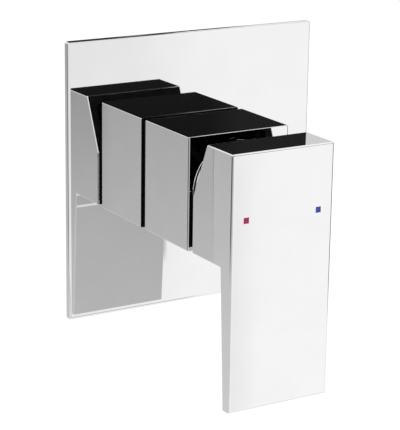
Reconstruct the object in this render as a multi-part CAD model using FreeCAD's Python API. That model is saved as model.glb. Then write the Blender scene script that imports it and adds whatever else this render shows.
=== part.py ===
"""Concealed single-lever shower mixer: in-wall brass body, ceramic cartridge and square chrome trim.

Millimetres. +Z is up, +X is to the right and the front of the mixer faces -Y. The origin is the
centre of the four fixing lugs, on the back face of the in-wall body and on the valve axis.
Places along the valve axis are given as a reach: how far they stand in front of the finished wall.
A reach below zero is inside the wall.
"""
import FreeCAD, Part
import math
import os

Vector = FreeCAD.Vector

# Wall and valve axis
wall_depth = 42.0  # finished wall to the back of the in-wall body
overrun = 1.0  # how far a cutting solid runs past the face that it cuts
slip = 0.05  # side clearance of pieces that are pushed together
thread_gap = 0.15  # side clearance of a screw thread that is left plain

# Cover plate and its foam gasket
plate_side = 120.0
plate_thickness = 2.5
plate_corner_radius = 1.0
plate_edge_radius = 0.35
gasket_thickness = 1.5
gasket_inset = 4.0
gasket_corner_radius = 3.0
neck_hole_gap = 0.6  # plate and gasket holes round the valve neck

# Square trim sleeve
sleeve_side = 48.5
sleeve_projection = 38.0  # plate front to sleeve front
sleeve_edge_radius = 0.5
sleeve_rim_radius = 0.3
sleeve_bore_radius = 21.5
sleeve_bore_chamfer = 0.8
sleeve_seal_thickness = 1.3
sleeve_seal_inset = 1.0
sleeve_screw_radius = 2.0
sleeve_screw_projection = 20.0  # plate front to the screw's axis
sleeve_screw_recess = 0.25
sleeve_screw_socket_flats = 2.0
sleeve_screw_socket_depth = 1.6

# Lever handle, one hollow casting
handle_width = 48.5
handle_rise = 24.25  # valve axis to the top of the head
handle_drop = 24.0  # valve axis to the underside of the head
handle_projection = 71.5  # plate front to handle front
handle_back_projection = 41.5  # plate front to the back of the head
chamfer_top_projection = 52.0  # plate front to the top of the sloping back
chamfer_start_height = 0.3  # where the sloping back begins, above the valve axis
blade_drop = 84.5  # valve axis to the tip of the blade
blade_root_thickness = 7.9
blade_tip_thickness = 4.4
blade_root_radius = 1.2
handle_edge_radius = 0.6
handle_front_radius = 0.8
handle_wall = 3.8
handle_front_wall = 4.2
handle_pocket_radius = 1.5
handle_boss_radius = 8.5
handle_boss_setback = 3.0  # back of the head to the back of the stem boss
handle_web_thickness = 2.4
handle_web_setback = 10.0  # back of the head to the back of the webs
screw_boss_radius = 5.5

# Handle screw and its plug
handle_screw_radius = 3.0
handle_screw_length = 12.0
handle_screw_setback = 11.0  # back of the head to the screw's axis
handle_screw_socket_flats = 3.0
handle_screw_socket_depth = 3.5
handle_screw_tip = 1.0
screw_cap_radius = 4.0
screw_cap_depth = 2.3
screw_cap_dish = 0.5

# Temperature marks in the handle's front
mark_side = 2.5
mark_depth = 0.8
mark_inset = 6.95  # side of the handle to the middle of a mark
mark_drop = 3.3

# Cartridge: stem, rotor and housing
pivot_projection = 25.0  # plate front to the stem's pivot
lift_angle = 24.0  # degrees from shut to full flow
turn_angle = 45.0  # degrees each way from mixed water
stem_side = 8.6
stem_depth_in_boss = 20.0
stem_edge_chamfer = 0.8
stem_arm = 10.5  # pivot to the ball that drives the disc
stem_ball_radius = 3.2
stem_shank_radius = 2.3
stem_heel = 3.6  # square part of the stem behind the pivot
pin_radius = 1.5
pin_gap = 0.03
housing_radius = 17.4
housing_wall = 1.6
housing_front_wall = 1.6
shoulder_reach = 28.0  # finished wall to the shoulder that the retaining nut bears on
collar_radius = 13.5
collar_height = 3.0
tower_radius = 11.9
tower_gap = 0.1
tower_height = 9.0  # how far the rotor's tower stands past the housing's shoulder
rotor_flange_radius = 15.4
rotor_flange_thickness = 4.7
rotor_gap = 0.1
rotor_slot_gap = 0.2
rotor_rail_thickness = 2.0
rotor_rail_height = 3.6
rotor_rail_length = 16.0
stop_tab_thickness = 2.0
stop_tab_height = 1.7
stop_tab_half_angle = 12.0  # degrees
stop_play_angle = 2.0  # degrees left at each end of the turn

# Cartridge: discs, carrier, base and seals
disc_thickness = 4.0
fixed_disc_radius = 15.5
moving_disc_radius = 13.2
disc_film = 0.02
fixed_disc_key_radius = 1.5
disc_key_radius = 1.3
disc_key_height = 1.5
disc_key_spacing = 10.0
disc_key_drop = 8.3
cavity_width = 18.0
cavity_top = 8.6
cavity_bottom = 3.6
cavity_depth = 2.0
cavity_corner_radius = 2.5
carrier_radius = 13.0
carrier_flat = 10.5  # axis to the flats that run between the rotor's rails
carrier_gap = 0.2
ball_gap = 0.2
base_reach = 6.5  # finished wall to the base's front face
base_flange_thickness = 2.5
base_lift = 0.5  # base back face above the chamber floor
chamber_floor_depth = 1.0
base_pin_radius = 1.7
base_pin_length = 3.0
base_pin_spacing = 24.0
base_pin_height = 8.0
base_clip_width = 6.0
base_clip_height = 1.6
base_clip_depth = 1.1
inlet_port_radius = 2.5
inlet_port_spacing = 14.0
inlet_port_drop = 4.8
outlet_port_radius = 3.4
outlet_port_height = 8.0
seal_width = 1.5
seal_land = 0.4
seal_groove_depth = 1.2

# Limiter ring, retaining nut and dome cap
limiter_radius = 15.3
limiter_wall = 1.3
limiter_height = 6.0
limiter_tooth_depth = 0.8
limiter_tooth_count = 12
nut_bore_radius = 15.6
nut_thread_radius = 19.0
nut_thread_length = 5.0
nut_hub_radius = 18.0
nut_hub_length = 5.5
nut_slot_count = 6
nut_slot_width = 4.0
nut_slot_depth = 2.0
cap_radius = 20.8
cap_skirt = 5.3
cap_height = 9.2
cap_wall = 1.6
cap_opening_radius = 14.8
cap_inner_radius = 17.5
cap_dome_steps = 3

# In-wall body
neck_radius = 21.0
neck_chamfer = 0.8
chamber_radius = 17.65
barrel_radius = 25.0
barrel_chamfer = 1.8
barrel_front_depth = 3.5
barrel_back_depth = 36.5
neck_groove_depth = 1.3
neck_groove_width = 2.3
neck_groove_projections = (7.0, 15.0)  # plate front to each groove's middle
o_ring_flats = 8
port_axis_depth = 24.0
port_hex_flats = 27.0
port_corner_radius = 15.1
port_hex_length = 13.0
port_stub_radius = 12.0
inlet_span = 78.0
outlet_span = 88.0
port_thread_radius = 9.3
port_thread_length = 13.0
port_mouth_chamfer = 1.0
inlet_way_radius = 5.5
inlet_drop_radius = 3.25
inlet_drop_spacing = 19.0
outlet_way_radius = 4.8
outlet_drop_radius = 4.0
outlet_drop_height = 8.5
lug_spacing = 54.0
lug_radius = 7.0
lug_hole_radius = 2.75
lug_thickness = 5.5
back_recess_radius = 17.0
back_recess_depth = 2.5

# Plug in the lower outlet
plug_washer_thickness = 1.5
plug_washer_radius = 12.4
plug_shank_length = 12.0
plug_flange_radius = 13.0
plug_flange_thickness = 2.5
plug_hex_flats = 19.0
plug_hex_length = 6.0
plug_edge_chamfer = 0.8

# Places that follow from the sizes above
front = Vector(0, -1, 0)
right = Vector(1, 0, 0)
up = Vector(0, 0, 1)
plate_front = gasket_thickness + plate_thickness
sleeve_back = plate_front + sleeve_seal_thickness
sleeve_front = plate_front + sleeve_projection
head_back = plate_front + handle_back_projection
head_front = plate_front + handle_projection
pivot_reach = plate_front + pivot_projection
boss_back = head_back + handle_boss_setback
stem_end = boss_back + stem_depth_in_boss
screw_reach = head_back + handle_screw_setback
mark_spacing = handle_width - 2 * mark_inset
neck_hole_radius = neck_radius + neck_hole_gap
neck_front = shoulder_reach + nut_thread_length
housing_bore = housing_radius - housing_wall
tower_front = shoulder_reach + tower_height
rotor_front = shoulder_reach - housing_front_wall - rotor_gap
rotor_back = rotor_front - rotor_flange_thickness
fixed_disc_front = base_reach + disc_thickness
moving_disc_back = fixed_disc_front + disc_film
moving_disc_front = moving_disc_back + disc_thickness
ball_reach = pivot_reach - stem_arm
ball_travel = stem_arm * math.sin(math.radians(lift_angle))
disc_height = ball_travel / 2
base_back = base_lift - chamber_floor_depth
base_flange_front = base_back + base_flange_thickness
port_axis = -port_axis_depth


def y_at(reach):
    """Return the y of a plane that stands the given reach in front of the finished wall."""
    return -(wall_depth + reach)


def point(x, reach, z):
    """Return the point at x and z, the given reach in front of the finished wall."""
    return Vector(x, y_at(reach), z)


def block(width, reach_low, reach_high, z_low, z_high, x=0):
    """Return a box centred on x, between two reaches and two heights."""
    corner = point(x - width / 2, reach_high, z_low)
    return Part.makeBox(width, reach_high - reach_low, z_high - z_low, corner)


def rod(radius, reach_low, reach_high, x=0, z=0):
    """Return a round bar along the valve axis, between two reaches."""
    return Part.makeCylinder(radius, reach_high - reach_low, point(x, reach_low, z), front)


def ring(outer, inner, reach_low, reach_high, x=0, z=0):
    """Return a flat ring about a line along the valve axis."""
    hole = rod(inner, reach_low - overrun, reach_high + overrun, x, z)
    return rod(outer, reach_low, reach_high, x, z).cut(hole)


def face_of(points):
    """Return the flat face inside a closed run of straight lines."""
    return Part.Face(Part.makePolygon(points + points[:1]))


def turned(profile):
    """Return the solid that a profile of (radius, reach) points sweeps about the valve axis."""
    face = face_of([point(radius, reach, 0) for radius, reach in profile])
    return face.revolve(point(0, 0, 0), front, math.degrees(2 * math.pi))


def side_profile(profile, width):
    """Return a profile of (reach, z) points drawn out sideways to the given width."""
    face = face_of([point(-width / 2, reach, z) for reach, z in profile])
    return face.extrude(right * width)


def hexagon(flats, start, direction, length, level):
    """Return a hexagonal bar. A pair of its flats faces the direction level."""
    side = direction.cross(level)
    corner = flats / math.sqrt(3)
    half = flats / 2
    outline = []
    for across, along in ((1, 0), (1, 1), (-1, 1), (-1, 0), (-1, -1), (1, -1)):
        reach = corner if along == 0 else corner / 2
        outline.append(start + level * (half * along) + side * (reach * across))
    return face_of(outline).extrude(direction * length)


def edges_along(shape, direction):
    """Return the straight edges of a shape that run in a direction."""
    found = []
    for edge in shape.Edges:
        if len(edge.Vertexes) == 2 and edge.Curve.TypeId == "Part::GeomLine":
            run = (edge.Vertexes[1].Point - edge.Vertexes[0].Point).normalize()
            if abs(abs(run.dot(direction)) - 1) < 1e-6:
                found.append(edge)
    return found


def edges_in_plane(shape, reach):
    """Return the edges that lie wholly in the plane at a reach."""
    level = y_at(reach)
    return [e for e in shape.Edges if max(abs(v.Point.y - level) for v in e.Vertexes) < slip / 10]


def slab(side, reach_low, reach_high, corner_radius):
    """Return a square slab across the valve axis, with rounded corners."""
    body = block(side, reach_low, reach_high, -side / 2, side / 2)
    return body.makeFillet(corner_radius, edges_along(body, front))


def grub_screw(radius, length, tip, socket_flats, socket_depth, base, direction):
    """Return a headless screw with a cone at its tip and a hexagon socket in its other end."""
    body = Part.makeCone(radius - tip, radius, tip, base, direction)
    body = body.fuse(Part.makeCylinder(radius, length - tip, base + direction * tip, direction))
    socket_start = base + direction * (length - socket_depth)
    level = front if abs(direction.dot(up)) > 0.5 else up
    socket = hexagon(socket_flats, socket_start, direction, socket_depth + overrun, level)
    return body.cut(socket)


def port_places(inlet_x, inlet_z, outlet_z):
    """Return the (x, z) of the hot, cold and mixed ways."""
    return ((-inlet_x, inlet_z), (inlet_x, inlet_z), (0, outlet_z))


def seal_sizes():
    """Return the place and the inner radius of the seal round each way in the base's front."""
    places = port_places(inlet_port_spacing / 2, -inlet_port_drop, outlet_port_height)
    radii = (inlet_port_radius, inlet_port_radius, outlet_port_radius)
    return [(x, z, radius + seal_land) for (x, z), radius in zip(places, radii)]


def body_seal_sizes():
    """Return the place and the inner radius of the seal round each way in the base's back."""
    places = port_places(inlet_drop_spacing / 2, -inlet_port_drop, outlet_drop_height)
    radii = (inlet_drop_radius, inlet_drop_radius, outlet_drop_radius)
    return [(x, z, radius + seal_land) for (x, z), radius in zip(places, radii)]


def make_cover_plate():
    """Square plate with softened corners and front edge, holed for the valve neck."""
    plate = slab(plate_side, gasket_thickness, plate_front, plate_corner_radius)
    plate = plate.makeFillet(plate_edge_radius, edges_in_plane(plate, plate_front))
    return plate.cut(rod(neck_hole_radius, 0, plate_front + overrun))


def make_plate_gasket():
    """Foam sheet between the plate and the finished wall."""
    side = plate_side - 2 * gasket_inset
    sheet = slab(side, 0, gasket_thickness, gasket_corner_radius)
    return sheet.cut(rod(neck_hole_radius, -overrun, plate_front))


def make_sleeve_seal():
    """Thin square rubber between the plate and the sleeve."""
    side = sleeve_side - 2 * sleeve_seal_inset
    sheet = slab(side, plate_front, sleeve_back, sleeve_edge_radius)
    return sheet.cut(rod(neck_hole_radius, plate_front - overrun, sleeve_front))


def make_trim_sleeve():
    """Square block bored through for the neck and cap, with a screw hole underneath."""
    sleeve = slab(sleeve_side, sleeve_back, sleeve_front, sleeve_edge_radius)
    sleeve = sleeve.makeFillet(sleeve_rim_radius, edges_in_plane(sleeve, sleeve_front))
    rim = sleeve_bore_radius + sleeve_bore_chamfer
    bore = turned([
        (0, plate_front),
        (sleeve_bore_radius, plate_front),
        (sleeve_bore_radius, sleeve_front - sleeve_bore_chamfer),
        (rim, sleeve_front),
        (rim, sleeve_front + overrun),
        (0, sleeve_front + overrun),
    ])
    screw_top = point(0, plate_front + sleeve_screw_projection, 0)
    screw_hole = Part.makeCylinder(sleeve_screw_radius + slip, sleeve_side, screw_top, -up)
    return sleeve.cut(bore).cut(screw_hole)


def make_sleeve_grub_screw():
    """Headless screw through the sleeve's underside, bearing on the neck."""
    tip = point(0, plate_front + sleeve_screw_projection, -neck_radius)
    length = sleeve_side / 2 - sleeve_screw_recess - neck_radius
    return grub_screw(sleeve_screw_radius, length, sleeve_screw_recess, sleeve_screw_socket_flats,
                      sleeve_screw_socket_depth, tip, -up)


def make_sleeve_o_rings():
    """Two rubber rings in the neck's grooves, their round section drawn with a few flats."""
    floor_radius = neck_radius - neck_groove_depth
    middle = (sleeve_bore_radius + floor_radius) / 2
    section = (sleeve_bore_radius - floor_radius) / 2 - slip / 2
    half_step = math.pi / o_ring_flats
    corner = section / math.cos(half_step)
    rings = []
    for projection in neck_groove_projections:
        profile = []
        for step in range(o_ring_flats):
            angle = (2 * step + 1) * half_step
            along = plate_front + projection + corner * math.sin(angle)
            profile.append((middle + corner * math.cos(angle), along))
        rings.append(turned(profile))
    return Part.makeCompound(rings)


def port_directions():
    """Return the way that each port faces and how far its mouth is from the valve axis."""
    return (
        (-right, inlet_span / 2),
        (right, inlet_span / 2),
        (up, outlet_span / 2),
        (-up, outlet_span / 2),
    )


def port_boss(direction, span):
    """Return a round stub that ends in a hexagon with softened corners."""
    centre = point(0, port_axis, 0)
    hex_start = centre + direction * (span - port_hex_length)
    stub = Part.makeCylinder(port_stub_radius, span - port_hex_length, centre, direction)
    bar = hexagon(port_hex_flats, hex_start, direction, port_hex_length, front)
    softened = Part.makeCylinder(port_corner_radius, span, centre, direction)
    return stub.fuse(bar.common(softened))


def port_cut(direction, span, way_radius):
    """Return what is bored out of a port: its mouth, its thread and the way behind them."""
    centre = point(0, port_axis, 0)
    mouth = centre + direction * (span - port_mouth_chamfer)
    wide = port_thread_radius + port_mouth_chamfer
    chamfer = Part.makeCone(port_thread_radius, wide, port_mouth_chamfer, mouth, direction)
    thread_start = mouth - direction * port_thread_length
    thread = Part.makeCylinder(port_thread_radius, port_thread_length, thread_start, direction)
    # the inlet ways stop short of the vertical outlet way
    start = inlet_drop_spacing / 2 if abs(direction.x) > 0.5 else 0
    way_start = centre + direction * start
    way_length = span - port_mouth_chamfer - start
    way = Part.makeCylinder(way_radius, way_length, way_start, direction)
    return chamfer.fuse(thread).fuse(way)


def make_fixing_lugs():
    """Two crossed straps behind the barrel, joined to it, whose round ends hold the wall screws."""
    half = lug_spacing / 2
    lug_front = lug_thickness - wall_depth
    lugs = rod(barrel_radius - barrel_chamfer, -wall_depth, -barrel_back_depth)
    for side in (-1, 1):
        run = Vector(side, 0, 1).normalize()
        strap = block(2 * lug_radius, -wall_depth, lug_front, -half * math.sqrt(2), half * math.sqrt(2))
        strap.rotate(point(0, 0, 0), front, side * math.degrees(up.getAngle(run)))
        lugs = lugs.fuse(strap)
        for end in (-1, 1):
            lugs = lugs.fuse(rod(lug_radius, -wall_depth, lug_front, side * end * half, end * half))
    return lugs


def chamber_profile():
    """Return the (radius, reach) outline of the barrel, the neck and the cartridge chamber."""
    return [
        (0, -barrel_back_depth),
        (barrel_radius, -barrel_back_depth),
        (barrel_radius, -barrel_front_depth - barrel_chamfer),
        (barrel_radius - barrel_chamfer, -barrel_front_depth),
        (neck_radius, -barrel_front_depth),
        (neck_radius, neck_front - neck_chamfer),
        (neck_radius - neck_chamfer, neck_front),
        (nut_thread_radius, neck_front),
        (nut_thread_radius, shoulder_reach),
        (chamber_radius, shoulder_reach),
        (chamber_radius, -chamber_floor_depth),
        (0, -chamber_floor_depth),
    ]


def make_mixer_body():
    """Brass in-wall casting: barrel, neck, four ports, fixing lugs and the ways between them."""
    body = turned(chamber_profile()).fuse(make_fixing_lugs())
    for direction, span in port_directions():
        body = body.fuse(port_boss(direction, span))
    # the ports' stubs must not fill the cartridge chamber
    body = body.cut(rod(chamber_radius, -chamber_floor_depth, shoulder_reach))
    for direction, span in port_directions():
        way = inlet_way_radius if abs(direction.x) > 0.5 else outlet_way_radius
        body = body.cut(port_cut(direction, span, way))
    places = port_places(inlet_drop_spacing / 2, -inlet_port_drop, outlet_drop_height)
    for (x, z), radius in zip(places, (inlet_drop_radius, inlet_drop_radius, outlet_drop_radius)):
        body = body.cut(rod(radius, port_axis, overrun, x, z))
    for x in (-base_pin_spacing / 2, base_pin_spacing / 2):
        floor = -chamber_floor_depth
        hole = rod(base_pin_radius + slip, floor - base_pin_length, floor + overrun, x, base_pin_height)
        body = body.cut(hole)
    floor_radius = neck_radius - neck_groove_depth
    for projection in neck_groove_projections:
        low = plate_front + projection - neck_groove_width / 2
        body = body.cut(ring(neck_radius + overrun, floor_radius, low, low + neck_groove_width))
    for x in (-lug_spacing / 2, lug_spacing / 2):
        for z in (-lug_spacing / 2, lug_spacing / 2):
            hole = rod(lug_hole_radius, -wall_depth - overrun, overrun - barrel_front_depth, x, z)
            body = body.cut(hole)
    recess = rod(back_recess_radius, -wall_depth - overrun, back_recess_depth - wall_depth)
    return body.cut(recess)


def make_outlet_plug():
    """Hexagon-headed plug that shuts the lower outlet."""
    seat = point(0, port_axis, -outlet_span / 2 - plug_washer_thickness)
    shank_radius = port_thread_radius - thread_gap
    shank = Part.makeCylinder(shank_radius, plug_shank_length, seat, up)
    flange = Part.makeCylinder(plug_flange_radius, plug_flange_thickness, seat, -up)
    hex_start = seat - up * plug_flange_thickness
    head = hexagon(plug_hex_flats, hex_start, -up, plug_hex_length, front)
    corner = plug_hex_flats / math.sqrt(3)
    top = Part.makeCone(corner + plug_hex_length - plug_edge_chamfer, corner - plug_edge_chamfer,
                        plug_hex_length, hex_start, -up)
    return shank.fuse(flange).fuse(head.common(top))


def make_plug_washer():
    """Flat washer between the plug's flange and the lower outlet."""
    low = point(0, port_axis, -outlet_span / 2 - plug_washer_thickness)
    washer = Part.makeCylinder(plug_washer_radius, plug_washer_thickness, low, up)
    return washer.cut(Part.makeCylinder(port_thread_radius, plug_washer_thickness, low, up))


def make_cartridge_housing():
    """Cartridge shell: an open tube with a shouldered front, a collar and two clip windows."""
    opening = tower_radius + tower_gap
    shell = turned([
        (housing_bore, base_flange_front),
        (housing_radius, base_flange_front),
        (housing_radius, shoulder_reach),
        (collar_radius, shoulder_reach),
        (collar_radius, shoulder_reach + collar_height),
        (opening, shoulder_reach + collar_height),
        (opening, shoulder_reach - housing_front_wall),
        (housing_bore, shoulder_reach - housing_front_wall),
    ])
    return shell.cut(base_clips(slip))


def base_clips(clearance):
    """Return the two clips that hold the base in the housing, grown by a clearance."""
    low = base_flange_front + base_clip_height / 2 - clearance
    high = low + base_clip_height + 2 * clearance
    half = base_clip_width / 2 + clearance
    reach_out = housing_bore + base_clip_depth + clearance
    bar = block(2 * reach_out, low, high, -half, half)
    return bar.cut(rod(housing_bore - slip - base_clip_depth, low - overrun, high + overrun))


def slanted_way(radius, x_back, z_back, x_front, z_front):
    """Return the cut for a way that runs at a slant through the base."""
    start = point(x_back, base_back, z_back)
    end = point(x_front, base_reach, z_front)
    run = (end - start).normalize()
    length = (end - start).Length + 2 * overrun
    return Part.makeCylinder(radius, length, start - run * overrun, run)


def make_cartridge_base():
    """Base with three ways, seal grooves in both faces, two locating pins and disc keys."""
    spigot = housing_bore - slip
    base = rod(housing_radius, base_back, base_flange_front)
    base = base.fuse(rod(spigot, base_flange_front, base_reach)).fuse(base_clips(0))
    pin_back = -chamber_floor_depth - base_pin_length + slip
    for x in (-base_pin_spacing / 2, base_pin_spacing / 2):
        base = base.fuse(rod(base_pin_radius, pin_back, base_back + overrun, x, base_pin_height))
    for x in (-fixed_disc_radius, fixed_disc_radius):
        key = rod(fixed_disc_key_radius, base_reach - overrun, base_reach + disc_thickness / 2, x)
        base = base.fuse(key.common(rod(spigot, 0, fixed_disc_front)))
    backs = port_places(inlet_drop_spacing / 2, -inlet_port_drop, outlet_drop_height)
    fronts = port_places(inlet_port_spacing / 2, -inlet_port_drop, outlet_port_height)
    radii = (inlet_port_radius, inlet_port_radius, outlet_port_radius)
    for (x_back, z_back), (x_front, z_front), radius in zip(backs, fronts, radii):
        base = base.cut(slanted_way(radius, x_back, z_back, x_front, z_front))
    for x, z, radius in seal_sizes():
        low = base_reach - seal_groove_depth
        base = base.cut(ring(radius + seal_width, radius, low, base_reach + overrun, x, z))
    for x, z, radius in body_seal_sizes():
        high = base_back + seal_groove_depth
        base = base.cut(ring(radius + seal_width, radius, base_back - overrun, high, x, z))
    return base


def make_base_seals():
    """Three rubber rings between the base and the chamber floor."""
    high = base_back + seal_groove_depth
    rings = [
        ring(radius + seal_width - slip, radius + slip, -chamber_floor_depth, high, x, z)
        for x, z, radius in body_seal_sizes()
    ]
    return Part.makeCompound(rings)


def make_port_seals():
    """Three rubber rings between the base and the fixed disc."""
    low = base_reach - seal_groove_depth
    rings = [
        ring(radius + seal_width - slip, radius + slip, low, base_reach, x, z)
        for x, z, radius in seal_sizes()
    ]
    return Part.makeCompound(rings)


def make_fixed_disc():
    """Ceramic disc with hot, cold and mixed ways and two key notches."""
    disc = rod(fixed_disc_radius, base_reach, fixed_disc_front)
    places = port_places(inlet_port_spacing / 2, -inlet_port_drop, outlet_port_height)
    for (x, z), radius in zip(places, (inlet_port_radius, inlet_port_radius, outlet_port_radius)):
        disc = disc.cut(rod(radius, base_reach - overrun, fixed_disc_front + overrun, x, z))
    for x in (-fixed_disc_radius, fixed_disc_radius):
        notch = rod(fixed_disc_key_radius + slip, 0, fixed_disc_front + overrun, x)
        disc = disc.cut(notch)
    return disc


def disc_keys(radius, height):
    """Return the two pins that lock the moving disc to its carrier."""
    high = moving_disc_front + overrun
    low = moving_disc_front - height
    z = disc_height - disc_key_drop
    left = rod(radius, low, high, -disc_key_spacing / 2, z)
    return left.fuse(rod(radius, low, high, disc_key_spacing / 2, z))


def make_moving_disc():
    """Ceramic disc with a mixing cavity in its back and two key holes in its front."""
    disc = rod(moving_disc_radius, moving_disc_back, moving_disc_front, 0, disc_height)
    low, high = disc_height - cavity_bottom, disc_height + cavity_top
    start = moving_disc_back - overrun
    cavity = block(cavity_width, start, moving_disc_back + cavity_depth, low, high)
    cavity = cavity.makeFillet(cavity_corner_radius, edges_along(cavity, front))
    rim = rod(moving_disc_radius - seal_width, start, moving_disc_front, 0, disc_height)
    return disc.cut(cavity.common(rim)).cut(disc_keys(disc_key_radius + slip, disc_key_height + slip))


def make_disc_carrier():
    """Flat-sided block that carries the moving disc and takes the stem's ball."""
    carrier_front = rotor_back - carrier_gap
    carrier = rod(carrier_radius, moving_disc_front, carrier_front, 0, disc_height)
    flats = block(2 * carrier_flat, moving_disc_front, carrier_front,
                  -moving_disc_radius * 2, moving_disc_radius * 2)
    carrier = carrier.common(flats).fuse(disc_keys(disc_key_radius, disc_key_height))
    socket = rod(stem_ball_radius + ball_gap, ball_reach - stem_ball_radius - ball_gap,
                 carrier_front + overrun)
    return carrier.cut(socket)


def stem_slot():
    """Return the hourglass slot that lets the stem tilt from shut to full flow."""
    half = stem_side / 2 + rotor_slot_gap
    slope = math.tan(math.radians(lift_angle))
    spread = half / math.cos(math.radians(lift_angle))
    ahead = tower_front + overrun - pivot_reach
    behind = pivot_reach - rotor_back + overrun
    profile = [
        (pivot_reach - behind, half),
        (pivot_reach, spread),
        (pivot_reach + ahead, spread + ahead * slope),
        (pivot_reach + ahead, -half),
        (pivot_reach, -spread),
        (pivot_reach - behind, -spread - behind * slope),
    ]
    return side_profile(profile, stem_side + 2 * rotor_slot_gap)


def make_rotor_guide():
    """Rotor: flange in the housing, tower through its collar, stem slot, rails and stop tab."""
    rotor = rod(rotor_flange_radius, rotor_back, rotor_front)
    rotor = rotor.fuse(rod(tower_radius, rotor_back, tower_front))
    rail_x = carrier_flat + carrier_gap + rotor_rail_thickness / 2
    half = rotor_rail_length / 2
    for x in (-rail_x, rail_x):
        low = rotor_back - rotor_rail_height
        rotor = rotor.fuse(block(rotor_rail_thickness, low, rotor_front, -half, half, x))
    tab_low = shoulder_reach + collar_height + stop_tab_height / 4
    tab = sector(tower_radius - overrun, tower_radius + stop_tab_height, tab_low,
                 tab_low + stop_tab_thickness, 0, stop_tab_half_angle)
    rotor = rotor.fuse(tab).cut(stem_slot())
    pin_hole_start = point(-tower_radius - overrun, pivot_reach, 0)
    pin_hole = Part.makeCylinder(pin_radius, 2 * (tower_radius + overrun), pin_hole_start, right)
    return rotor.cut(pin_hole)


def sector(inner, outer, reach_low, reach_high, middle, half_angle):
    """Return part of a ring. The middle angle is in degrees, turned from the top."""
    span = math.degrees(math.radians(2 * half_angle))
    face = face_of([
        point(inner, reach_low, 0),
        point(outer, reach_low, 0),
        point(outer, reach_high, 0),
        point(inner, reach_high, 0),
    ])
    solid = face.revolve(point(0, 0, 0), front, span)
    quarter = math.degrees(math.pi / 2)
    solid.rotate(point(0, 0, 0), front, -quarter - half_angle + middle)
    return solid


def make_pivot_pin():
    """Steel pin that the stem tilts on, held in the rotor's tower."""
    half = tower_radius - rotor_slot_gap
    return Part.makeCylinder(pin_radius, 2 * half, point(-half, pivot_reach, 0), right)


def make_lever_stem():
    """Stem: square bar for the handle, pivot hole, round arm and drive ball."""
    half = stem_side / 2
    heel = pivot_reach - stem_heel
    bar = block(stem_side, heel, stem_end, -half, half)
    bar = bar.makeChamfer(stem_edge_chamfer, edges_in_plane(bar, stem_end))
    arm = rod(stem_shank_radius, ball_reach, heel + overrun)
    ball = Part.makeSphere(stem_ball_radius, point(0, ball_reach, 0))
    dimple_top = point(0, screw_reach, -half + handle_screw_tip / 2)
    dimple = Part.makeCone(handle_screw_radius - handle_screw_tip / 2,
                           handle_screw_radius, handle_screw_tip / 2, dimple_top, -up)
    pin_hole = Part.makeCylinder(pin_radius + pin_gap, 2 * stem_side,
                                 point(-stem_side, pivot_reach, 0), right)
    return bar.fuse(arm).fuse(ball).cut(pin_hole).cut(dimple)


def make_limiter_ring():
    """Toothed ring on the housing's collar whose stop block limits the rotor's tab."""
    low = shoulder_reach
    collar_top = shoulder_reach + collar_height
    high = shoulder_reach + limiter_height
    sleeve_part = ring(limiter_radius, collar_radius + slip, low, collar_top)
    inner = limiter_radius - limiter_wall
    stop_part = ring(limiter_radius, inner, collar_top, high)
    recess = turn_angle + stop_tab_half_angle + stop_play_angle
    half_turn = math.degrees(math.pi)
    stop = sector(tower_radius + tower_gap, limiter_radius - limiter_wall / 2, collar_top, high,
                  half_turn, half_turn - recess)
    limiter = sleeve_part.fuse(stop_part).fuse(stop)
    tooth_pitch = 2 * math.pi / limiter_tooth_count
    for index in range(limiter_tooth_count):
        angle = index * tooth_pitch
        x, z = limiter_radius * math.sin(angle), limiter_radius * math.cos(angle)
        limiter = limiter.cut(rod(limiter_tooth_depth, collar_top, high + overrun, x, z))
    return limiter


def make_retaining_nut():
    """Ring nut in the neck's mouth that clamps the cartridge and carries the dome cap."""
    high = neck_front + nut_hub_length
    nut = rod(nut_thread_radius - thread_gap, shoulder_reach, neck_front)
    nut = nut.fuse(rod(nut_hub_radius, neck_front, high))
    nut = nut.cut(rod(nut_bore_radius, 0, high + overrun))
    for index in range(nut_slot_count // 2):
        slot = block(nut_slot_width, high - nut_slot_depth, high + overrun, -cap_radius, cap_radius)
        slot.rotate(point(0, 0, 0), front, index * math.degrees(2 * math.pi) / nut_slot_count)
        nut = nut.cut(slot)
    return nut


def make_dome_cap():
    """Chromed round cap over the nut. Its front is domed in steps and open for the stem."""
    low = neck_front + slip
    skirt_top = low + cap_skirt
    high = low + cap_height
    inner = nut_hub_radius + thread_gap
    profile = [(inner, low), (cap_radius, low)]
    for step in range(cap_dome_steps + 1):
        angle = math.pi / 2 * step / cap_dome_steps
        radius = cap_opening_radius + (cap_radius - cap_opening_radius) * math.cos(angle)
        profile.append((radius, skirt_top + (high - skirt_top) * math.sin(angle)))
    profile.append((cap_opening_radius, high - cap_wall))
    profile.append((cap_inner_radius, skirt_top + cap_wall / 2))
    profile.append((inner, skirt_top))
    return turned(profile)


def handle_profile():
    """Return the (reach, z) outline of the handle seen from the side."""
    return [
        (head_front, handle_rise),
        (plate_front + chamfer_top_projection, handle_rise),
        (head_back, chamfer_start_height),
        (head_back, -handle_drop),
        (head_front - blade_root_thickness, -handle_drop),
        (head_front - blade_tip_thickness, -blade_drop),
        (head_front, -blade_drop),
    ]


def handle_pocket():
    """Return the hollow of the head, still without its boss and webs."""
    inside = handle_width - 2 * handle_wall
    low, high = handle_wall - handle_drop, handle_rise - handle_wall
    pocket = block(inside, head_back - overrun, head_front - handle_front_wall, low, high)
    return pocket.makeFillet(handle_pocket_radius, edges_along(pocket, front))


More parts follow.
